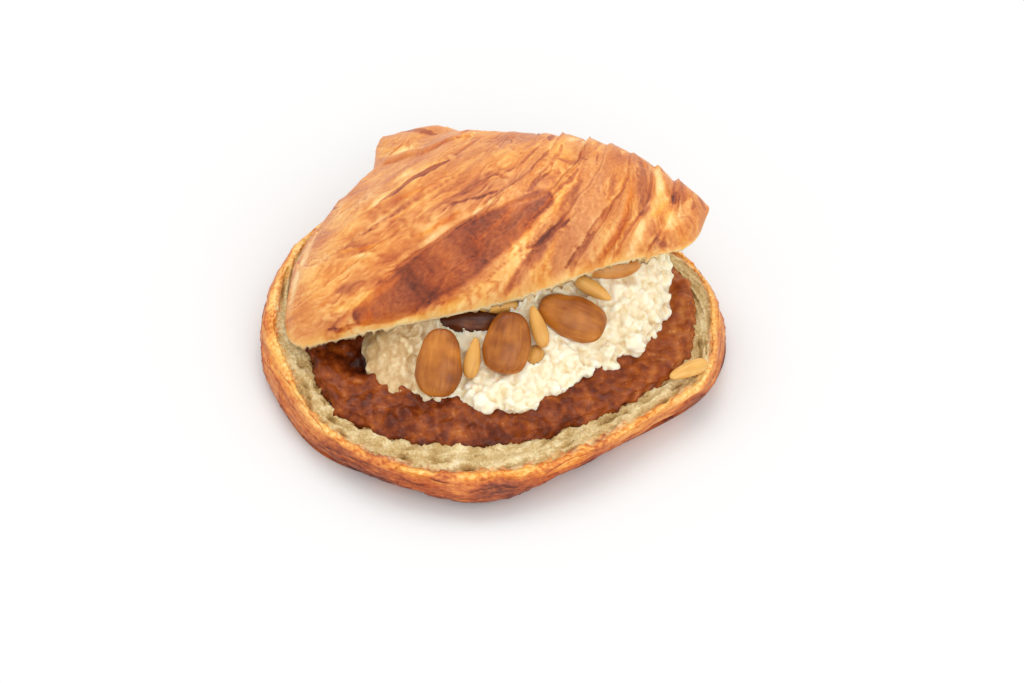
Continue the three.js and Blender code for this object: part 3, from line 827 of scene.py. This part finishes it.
def make_lid():
    columns = strip_columns()
    strips, v = np.meshgrid(columns, np.linspace(0, 1, LID_TOP_STEPS + 1), indexing="ij")
    top, fade = lid_top(strips, v)
    bake_add, glow_add, lift, calm = lid_streaks(strips, top)
    calm = np.clip(calm, 0, 1)
    height, darker, patches, grain = lid_relief(strips, v, top, calm)
    edge = np.minimum(v, 1 - v)
    normal = -grid_normals(top, False)
    gain = fade * (0.2 + 0.8 * smooth(0, 0.05, edge))
    top = top + normal * ((height + lift) * gain)[..., None]
    run = path_length(top[:, :2], 0)[:, :1]
    teeth = ridges(run / 2.6, 0.5, 0.5, 38) ** 2
    ragged = smooth(-0.4, 0.3, noise(run / 12, 0.5, 0.5, 48))
    wave = 0.6 * fractal(run / 9, 0.5, 0.5, 49, 2)
    hang = (1.0 + 2.6 * ragged) * teeth + 1.1 * noise(run / 1.3, 0.5, 0.5, 47) + wave - 0.6
    top[:, :2, 2] -= hang * fade[:, :2] * [1, 0.35]
    under_v = np.linspace(1, 0, LID_UNDER_STEPS + 2)[1:-1]
    under_strips, under_v = np.meshgrid(columns, under_v, indexing="ij")
    under = lid_under(under_strips, under_v)
    torn = fractal(under[..., 0] / 2.6, under[..., 1] / 2.6, 0, 39)
    under[..., 2] += 0.5 * np.maximum(torn, -0.1) * smooth(0, 0.1, np.minimum(under_v, 1 - under_v))
    rings = np.concatenate([top, under], 1)
    cut = 1 - smooth(CUT_END, CUT_END + 0.06, along_at(strips, 0 * v))
    fringe = cut * (1 - smooth(0, 0.06, v))
    bake = 0.44 + np.minimum(bake_add, MOST_BAKED) + darker - 0.26 * fringe
    glow = 0.45 + glow_add + 0.25 * fringe - 0.2 * patches
    crumb = cut * (1 - smooth(0.001, 0.009, edge + 0.004 * patches))
    flat = np.ones(under.shape[:2])
    halves = {
        "calm": (calm, 0 * flat),
        "bake": (bake, 0.3 * flat),
        "glow": (glow, 0.3 * flat),
        "crumb": (crumb, flat),
        # crumb tone, painted lighter on the underside's raised torn bits as painted light
        "crumb_tone_and_shade": (0.62 + 0 * v, 0.6 + 0.25 * torn),
        "grain": (grain, under * MM),
    }
    attributes = {key: np.concatenate(values, 1) for key, values in halves.items()}
    front, back, _ = lid_curves()
    start = (front[0] + back[0]) / 2
    end = (front[-1] + back[-1]) / 2
    piece = ring_mesh("lid_dough", rings, start, end, attributes)
    dress(piece, ["croissant_lid"], crust_material("lid_crust_look", 0.05, 0.2))


# ---------------------------------------------------------------- fruit paste
PASTE_GAP = 0.5
PASTE_TOP = 16.6
PASTE_LUMP = 0.8
PASTE_LUMP_SIZE = 11.0
PASTE_AROUND = 760
# Hollow between the paste and the cream's left end: x, y, half width and depth; the paste is also painted
# darker in it as painted shade.
PASTE_PIT = (-40.0, -8.0, 6.0, 4.5)
# As in BASE_ROWS, from below the paste round its edge to its top.
PASTE_ROWS = [
    (1.0, 0, HOLLOW_Z + PASTE_GAP, False),
    (0.86, 0, 3.2, True),
    (0.77, 0, 2.8, True),
    (0.78, 0, 1.1, True),
    (0.85, 0, -0.4, True),
    (0.95, 0, -1.5, True),
]


def paste_grid():
    """Points of the paste from under its middle, out to its edge in the crumb and in over the top."""
    curves = base_curves(PASTE_AROUND)
    rows = [base_row(curves, *row) for row in PASTE_ROWS]
    middle = np.array([*FLOOR_MIDDLE, PASTE_TOP])
    hollow = base_row(curves, 1.0, 0, PASTE_TOP, False)
    for share, below in ((0.12, 1.0), (0.26, 0.3), (0.42, 0), (0.6, 0), (0.8, 0)):
        rows.append(hollow + (middle - hollow) * share - [0, 0, below])
    steps = (2, 3, 6, 9, 10, 12, 20, 22, 10, 5)
    place = np.concatenate([k + np.arange(n) / n for k, n in enumerate(steps)] + [[len(steps)]])
    return catmull(np.array(rows), place / (len(rows) - 1)), place[:, None]


def paste_material():
    shader = Shader(
        "fruit_paste_look", Specular_IOR_Level=0.15, Subsurface_Radius=(0.0022, 0.0008, 0.0003),
        Subsurface_Scale=1.0, Subsurface_Weight=0.25, Coat_Weight=0.2, Coat_Roughness=0.08,
    )
    broad = shader.varied(0.13, 10, 3, half=0.15)
    specks = shader.remap(shader.noise(0.6, 2), 0.63, 0.72, 0, 0.3)
    # Painted shade: the paste is darkened in its hollows and lightened on its crests.
    deep = shader.remap(shader.attribute("hollow"), -0.2, 0.25, 0.1, -0.12)
    shader.colour(shader.ramp(shader.add(shader.attribute("grain"), broad, specks, deep), [
        (0.0, 56, 16, 4),
        (0.3, 112, 44, 10),
        (0.55, 156, 76, 24),
        (0.78, 194, 116, 50),
        (1.0, 238, 180, 108),
    ]))
    shader.roughness(0.4)
    shader.bump(shader.noise(0.7, 3, 0.6), 0.5, 0.3)
    return shader.material


def make_paste():
    grid, place = paste_grid()
    xyz = np.moveaxis(grid, -1, 0)
    x, y, z = xyz
    side = smooth(1.2, 2.2, place)
    top = smooth(3.0, 4.6, place)
    run = path_length(grid, 1)
    skirt = np.exp(-((place - 2.4) / 1.1) ** 2)
    ragged = 1.8 * fractal(run / 8, 0, 0, 55) + 0.8 * noise(run / 1.6, z / 2, 0, 56)
    clots = fractal(*xyz / 4.6, 51, 2)
    grains = np.maximum(0, 0.6 - cells(*xyz / 1.25, 52))
    bits = np.maximum(0, 0.5 - cells(*xyz / 3.4, 57))
    fine = fractal(*xyz / 0.8, 53, 2)
    height = side * (0.9 * clots + 0.35 * grains + 0.8 * bits + 0.1 * fine) + skirt * ragged
    height = height + top * PASTE_LUMP * lumps(grid, PASTE_LUMP_SIZE)
    grid = grid + grid_normals(grid, True) * height[..., None]
    pit_x, pit_y, wide, deep = PASTE_PIT
    pit = np.exp(-((x - pit_x) ** 2 + (y - pit_y) ** 2) / wide ** 2) * smooth(4, 5, place)
    grid[..., 2] -= deep * pit
    # Painted sheen: the pale veil patches stand for soft light on the glossy paste.
    sheen_veil = smooth(0.2, 0.9, fractal(*xyz / 9, 58, 2))
    shade = 0.34 + 0.16 * fractal(*xyz / 2.6, 54, 2) + 0.12 * grains + 0.12 * sheen_veil
    # Painted shade darkens the pit. The paste is painted lighter toward the right, so the left stays
    # darker as painted shade of the lid.
    shade = shade + 0.3 * bits - 0.5 * pit - 0.06 * skirt + 0.22 * smooth(25, 60, x)
    start, end = (*FLOOR_MIDDLE, HOLLOW_Z + PASTE_GAP), (*FLOOR_MIDDLE, PASTE_TOP)
    piece = ring_mesh("fruit_paste_layer", grid, start, end, {"grain": shade}, flip=True)
    dress(piece, ["fruit_paste"], paste_material())


# ---------------------------------------------------------------- curd cream
CREAM_FOOT_Z = 12.0
CREAM_TOP_Z = 43.0
CREAM_TOP_SLOPE = 0.16
CREAM_AXIS = (8.0, 15.0)
CREAM_AROUND = 300
CREAM_RINGS = 64
CREAM_LUMP = 0.9
CREAM_LUMP_SIZE = 8.0
CREAM_STATIONS = [
    # foot x, y and top x, y
    (-41, 8, -34, 16),
    (-36, -17, -26, 6),
    (-22, -22.5, -14, 2),
    (-6, -26, 0, 0),
    (9, -27, 12, 3),
    (22, -19, 24, 10),
    (33, -11, 33, 15),
    (47, -3, 44, 19),
    (55, 13, 52, 22),
    (55, 29, 52, 29),
    (45, 36, 43, 34),
    (24, 37, 23, 36),
    (4, 42, 2, 40),
    (-18, 55, -14, 46),
    (-36, 42, -28, 36),
]
CREAM_ROWS = [
    # up, and from the foot's outline toward the top's
    (0, 0.1),
    (0.1, -0.06),
    (0.2, 0.08),
    (0.32, 0.3),
    (0.46, 0.58),
    (0.62, 0.84),
    (1, 1),
]
CURDS = 2600
CURD_VOXEL = 0.53
# The left end is smooth and painted beige as shade under the lid: the curds set in around the first x,
# over this much either way, and the painted shade is gone at the second.
SMOOTH_END_X = -27.0
SMOOTH_FADE = 4.0
LEFT_SHADE_END_X = -11.0
# Height given where no lid is overhead.
OPEN_SKY = 99.0
# Larger clots that hang out at the foot: x, y, z and radius.
CLOTS = [
    (6.0, -28.5, 17.0, 3.4),
    (9.5, -29.0, 15.8, 2.6),
    (44.0, -5.0, 20.0, 3.2),
    (46.5, -6.0, 18.6, 2.4),
    (-3.0, -27.0, 16.6, 2.8),
    (20.0, -22.0, 17.5, 2.8),
]


def cream_core():
    stations = np.array(CREAM_STATIONS, float)
    t = np.arange(CREAM_AROUND) / CREAM_AROUND
    foot = catmull(stations[:, :2], t, True)
    top = catmull(stations[:, 2:], t, True)
    rows = []
    for up, toward in CREAM_ROWS:
        flat = foot + (top - foot) * toward
        ceiling = CREAM_TOP_Z + CREAM_TOP_SLOPE * flat[:, 0]
        rows.append(np.column_stack([flat, CREAM_FOOT_Z + (ceiling - CREAM_FOOT_Z) * up]))
    grid = catmull(np.array(rows), np.linspace(0, 1, CREAM_RINGS))
    out = grid[..., :2] - CREAM_AXIS
    out /= np.linalg.norm(out, axis=-1, keepdims=True)
    grid[..., :2] += out * (CREAM_LUMP * lumps(grid, CREAM_LUMP_SIZE))[..., None]
    return grid


def under_lid():
    """Height of the lid's cut face over a point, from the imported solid."""
    tree = solid_tree("croissant_lid")
    up = Vector((0, 0, 1))

    def height(point):
        hit = tree.ray_cast(metres([*point[:2], 0]), up)[0]
        return hit.z / MM if hit else OPEN_SKY

    return height


def curdled(x):
    """1 where the cream is curdled, 0 at its smooth end."""
    return smooth(SMOOTH_END_X - SMOOTH_FADE, SMOOTH_END_X + SMOOTH_FADE, x)


def curd_cloud(grid):
    """Seeded curds on the outside of the mound, and the clots: centre and radius."""
    rng = np.random.default_rng(61)
    normal = grid_normals(grid, True)
    ring = rng.integers(0, grid.shape[0] - 1, CURDS)
    turn = rng.integers(0, grid.shape[1], CURDS)
    radius = 0.8 + 2.3 * rng.random(CURDS) ** 2.2
    sink = radius * (0.25 + 0.6 * rng.random(CURDS))
    centre = grid[ring, turn] - normal[ring, turn] * sink[:, None]
    centre += rng.normal(0, 0.5, (CURDS, 3))
    rough = rng.random(CURDS) < curdled(centre[:, 0])
    clots = np.array(CLOTS)
    return np.concatenate([centre[rough], clots[:, :3]]), np.concatenate([radius[rough], clots[:, 3]])


def ball():
    """Points and faces of a coarse ball of radius one."""
    gold = (1 + 5 ** 0.5) / 2
    points = [(-1, gold, 0), (1, gold, 0), (-1, -gold, 0), (1, -gold, 0), (0, -1, gold), (0, 1, gold)]
    points += [(0, -1, -gold), (0, 1, -gold), (gold, 0, -1), (gold, 0, 1), (-gold, 0, -1), (-gold, 0, 1)]
    points = np.array(points) / np.linalg.norm(points[0])
    faces = [(0, 11, 5), (0, 5, 1), (0, 1, 7), (0, 7, 10), (0, 10, 11), (1, 5, 9), (5, 11, 4)]
    faces += [(11, 10, 2), (10, 7, 6), (7, 1, 8), (3, 9, 4), (3, 4, 2), (3, 2, 6), (3, 6, 8)]
    faces += [(3, 8, 9), (4, 9, 5), (2, 4, 11), (6, 2, 10), (8, 6, 7), (9, 8, 1)]
    return points, np.array(faces)


def remeshed(piece, voxel_mm):
    """The piece's mesh rebuilt as one even skin."""
    modifier = piece.modifiers.new("skin", "REMESH")
    modifier.mode = "VOXEL"
    modifier.voxel_size = voxel_mm * MM
    modifier.use_smooth_shade = True
    shape = piece.evaluated_get(bpy.context.evaluated_depsgraph_get())
    mesh = bpy.data.meshes.new_from_object(shape)
    piece.modifiers.clear()
    old = piece.data
    piece.data = mesh
    bpy.data.meshes.remove(old)


def socket(point, nut, place, spin, tilt, yaw, stretch, wide):
    """Points that lie inside or over a nut are pressed down to its lower side."""
    matrix = nut_turn(spin, tilt, yaw)
    local = (point - place) @ matrix
    half = np.array([nut["length"] * stretch, nut["width"] * wide, nut["thick"]]) / 2
    share = np.clip(local[:, 0] / half[0], -1, 1)
    girth = (1 - share ** 2) ** (nut["blunt"] / 2) * (1 + nut["taper"] * share) + 1e-6
    flat = np.where(np.abs(share) < 1, (local[:, 1] / (half[1] * girth)) ** 2, 2)
    inside = (flat < 1) & (local[:, 2] > -half[2]) & (local[:, 2] < 3 * half[2])
    floor = -half[2] * girth * np.sqrt(np.maximum(1 - flat, 0))
    local[inside, 2] = np.minimum(local[inside, 2], floor[inside])
    return np.where(inside[:, None], local @ matrix.T + place, point)


def cream_material():
    shader = Shader(
        "curd_cream_look", Subsurface_Radius=(0.0024, 0.0016, 0.0008), Subsurface_Scale=1.0,
        Subsurface_Weight=0.4, Coat_Weight=0.1, Coat_Roughness=0.35,
    )
    # Painted shade: the cream is darkened in the crevices between its curds and lightened on their
    # crests.
    deep = shader.remap(shader.attribute("hollow"), -0.2, 0.3, 0.1, -0.24)
    shader.colour(shader.ramp(shader.add(shader.attribute("tone"), deep), [
        (0.0, 206, 168, 112),
        (0.3, 236, 214, 168),
        (0.6, 250, 240, 210),
        (1.0, 255, 252, 238),
    ]))
    shader.roughness(0.5)
    shader.bump(shader.noise(0.5, 3, 0.6), 0.3, 0.15)
    return shader.material


def make_cream():
    grid = cream_core()
    centre, radius = curd_cloud(grid)
    unit, faces = ball()
    ceiling = under_lid()
    keep = [i for i in range(len(centre)) if centre[i, 2] + radius[i] < ceiling(centre[i]) + 0.4]
    balls = (centre[keep, None] + unit[None] * radius[keep, None, None]).reshape(-1, 3)
    start = (*CREAM_AXIS, CREAM_FOOT_Z)
    end = (*CREAM_AXIS, CREAM_TOP_Z + CREAM_TOP_SLOPE * CREAM_AXIS[0])
    piece = ring_mesh("curd_cream_mound", grid, start, end, {}, flip=True)
    curds = (faces[None] + (np.arange(len(keep)) * len(unit))[:, None, None]).reshape(-1)
    cloud = mesh_object("curds", balls, curds, np.full(len(curds) // 3, 3), {})
    with bpy.context.temp_override(active_object=piece, selected_editable_objects=[piece, cloud]):
        bpy.ops.object.join()
    remeshed(piece, CURD_VOXEL)
    mesh = piece.data
    point = mesh_points(mesh)
    xyz = point.T
    rough = curdled(xyz[0])
    ruffle = fractal(*xyz / 1.7, 62)
    swell = fractal(*xyz / 7, 65, 2)
    lift = (0.16 + 0.1 * rough) * ruffle + 1.1 * rough * swell
    torn = [fractal(*xyz / 3.4, seed, 2) for seed in (66, 67, 68)]
    point += mesh_vectors(mesh, "normal") * lift[:, None] + (0.6 * rough * torn).T
    for nut, places in ((ALMOND, ALMONDS), (PINE_NUT, PINE_NUTS)):
        for place in places:
            point = socket(point, nut, *place)
    limit = np.array([ceiling(p) for p in point])
    point[:, 2] = np.minimum(point[:, 2], limit + 0.5)
    set_points(mesh, point)
    mesh.update()
    # Painted shade under the lid's left end: the cream there is painted beige.
    left_end_shade = 1 - smooth(SMOOTH_END_X - SMOOTH_FADE, LEFT_SHADE_END_X, xyz[0])
    tone = 0.56 + 0.1 * ruffle + 0.18 * fractal(*xyz / 6, 63) - 0.42 * left_end_shade
    set_attribute(mesh, "tone", tone)
    dress(piece, ["curd_cream"], cream_material())


# ---------------------------------------------------------------- nuts
ALMOND = {"length": 22.5, "width": 14.5, "thick": 7.5, "taper": 0.15, "blunt": 0.7}
PINE_NUT = {"length": 13.5, "width": 4.9, "thick": 4.6, "taper": 0.25, "blunt": 0.85}
ALMONDS = [
    # place, spin, tilt and yaw, then length and width against the usual
    ((-16, -19, 26), -90, 38, -6, 0.94, 0.96),
    ((5, -13.5, 29), -100, 40, 0, 0.86, 1),
    ((25, -3.5, 30), -28, 38, 8, 0.97, 0.92),
    ((36, 15.5, 35.5), 4, 8, 6, 1, 0.9),
    ((-5.5, 0, 28), 4, 18, 0, 1, 1),
]
PINE_NUTS = [
    ((-5.7, -17.5, 26.5), 260, 40, 0, 0.95, 1),
    ((14.5, -9, 31.5), 287, 40, 0, 1, 1),
    ((31.5, 5, 34), 148, 36, 0, 1, 1),
    ((61.5, -13.5, 16.5), 28, 0, 0, 1, 1),
    ((13.5, -13.8, 23.6), 60, 34, 0, 0.45, 1),
    ((2, -2, 33.5), 6, 0, 0, 1, 1),
]
# Nuts that are paler or darker than the rest; almond 5, which lies in the lid's shade, is darkened as
# painted shade.
NUT_TONES = {("almond", 4): 0.3, ("almond", 5): -0.35, ("pine_nut", 5): -0.05, ("pine_nut", 4): 0.15}
NUT_RINGS = 72
NUT_AROUND = 64


def turned(axis, degrees):
    c, s = math.cos(math.radians(degrees)), math.sin(math.radians(degrees))
    if axis == "x":
        return np.array([[1, 0, 0], [0, c, -s], [0, s, c]])
    return np.array([[c, -s, 0], [s, c, 0], [0, 0, 1]])


def nut_turn(spin, tilt, yaw):
    return turned("z", yaw) @ turned("x", tilt) @ turned("z", spin)


def nut_grid(nut):
    """Points of a nut that lies along x, and the angle of each of its rings."""
    angle = np.linspace(0, np.pi, NUT_RINGS + 2)[1:-1, None]
    turn = (np.arange(NUT_AROUND) * 2 * np.pi / NUT_AROUND)[None]
    girth = np.sin(angle) ** nut["blunt"] * (1 - nut["taper"] * np.cos(angle))
    x = -nut["length"] / 2 * np.cos(angle) + 0 * turn
    y = nut["width"] / 2 * girth * np.cos(turn)
    z = nut["thick"] / 2 * girth * np.sin(turn)
    return np.stack([x, y, z], -1), angle


def nut_material(name, stops):
    shader = Shader(
        name, Specular_IOR_Level=0.3, Subsurface_Radius=(0.003, 0.0015, 0.0006), Subsurface_Scale=1.0,
        Subsurface_Weight=0.2, Coat_Weight=0.12, Coat_Roughness=0.22,
    )
    shader.colour(shader.ramp(shader.add(shader.attribute("tone"), shader.varied(0.07, 4, 3)), stops))
    shader.roughness(0.34)
    shader.bump(shader.noise(0.6, 3), 0.15, 0.12)
    return shader.material


def make_nut(kind, number, nut, place, spin, tilt, yaw, stretch, wide, material):
    grid, angle = nut_grid(nut)
    x, y, z = np.moveaxis(grid, -1, 0)
    seed = 70 + 10 * number
    spread = np.sin(angle) ** 0.6 + 0.25
    grooves = fractal(y / spread / 0.6, x / 13, z / 1.2 + number, seed)
    swell = fractal(x / 8, y / 8, z / 8 + number, seed + 5, 2)
    relief = (0.16 if kind == "almond" else 0.04) * grooves + 0.5 * swell * nut["thick"] / 7.5
    normal = grid_normals(grid, True)
    grid = grid - normal * (relief * np.sin(angle))[..., None]
    matrix = nut_turn(spin, tilt, yaw)
    sized = np.array([stretch, wide, 1.0])
    ends = np.array([[-nut["length"] / 2, 0, 0], [nut["length"] / 2, 0, 0]]) * sized
    ends = ends @ matrix.T + place
    tip = np.exp(-((angle - (0 if kind == "almond" else np.pi)) / 0.5) ** 2)
    tone = 0.43 + 0.11 * grooves + 0.2 * swell - 0.25 * tip + NUT_TONES.get((kind, number), 0)
    name = f"{kind}_{number}"
    grid = (grid * sized) @ matrix.T + place
    piece = ring_mesh(name + "_kernel", grid, *ends, {"tone": tone})
    dress(piece, [name], material)


def make_nuts():
    almond_look = nut_material("almond_look", [
        (0.0, 84, 36, 8),
        (0.3, 150, 80, 20),
        (0.6, 194, 120, 42),
        (1.0, 236, 180, 104),
    ])
    pine_look = nut_material("pine_nut_look", [
        (0.0, 184, 118, 46),
        (0.5, 226, 172, 88),
        (1.0, 250, 216, 146),
    ])
    for number, place in enumerate(ALMONDS, 1):
        make_nut("almond", number, ALMOND, *place, almond_look)
    for number, place in enumerate(PINE_NUTS, 1):
        make_nut("pine_nut", number, PINE_NUT, *place, pine_look)


# ---------------------------------------------------------------- floor, light and camera
def make_floor():
    bpy.ops.mesh.primitive_plane_add(size=6)
    floor = bpy.context.object
    floor.name = "table"
    shader = Shader("table_white", Roughness=0.6)
    shader.colour(srgb(232, 233, 233))
    floor.data.materials.append(shader.material)


def aim(thing, place_mm, target_mm):
    start = metres(place_mm)
    thing.location = start
    thing.rotation_euler = (metres(target_mm) - start).to_track_quat("-Z", "Y").to_euler()


def soft_light(name, place_mm, size_m, power):
    data = bpy.data.lights.new(name, "AREA")
    data.shape = "DISK"
    data.size = size_m
    data.energy = power
    aim(new_object(name, data), place_mm, (0, 0, 20))


def make_lights():
    world = bpy.data.worlds.new("studio")
    bpy.context.scene.world = world
    world.use_nodes = True
    background = world.node_tree.nodes["Background"]
    background.inputs["Color"].default_value = (1.0, 0.99, 0.98, 1)
    background.inputs["Strength"].default_value = 0.92
    soft_light("overhead", (-100, 420, 900), 0.8, 2.6)
    soft_light("front", (260, -700, 620), 0.9, 2.6)


def make_camera():
    data = bpy.data.cameras.new("photo_view")
    data.lens = CAMERA_LENS
    data.sensor_width = SENSOR_WIDTH
    data.clip_start = 0.01
    camera = new_object("photo_view", data)
    aim(camera, camera_axes()[0], CAMERA_TARGET)
    bpy.context.scene.camera = camera


make_camera()
make_lights()
make_floor()
make_base()
make_lid()
make_paste()
make_cream()
make_nuts()
bpy.context.scene.view_settings.view_transform = "Standard"
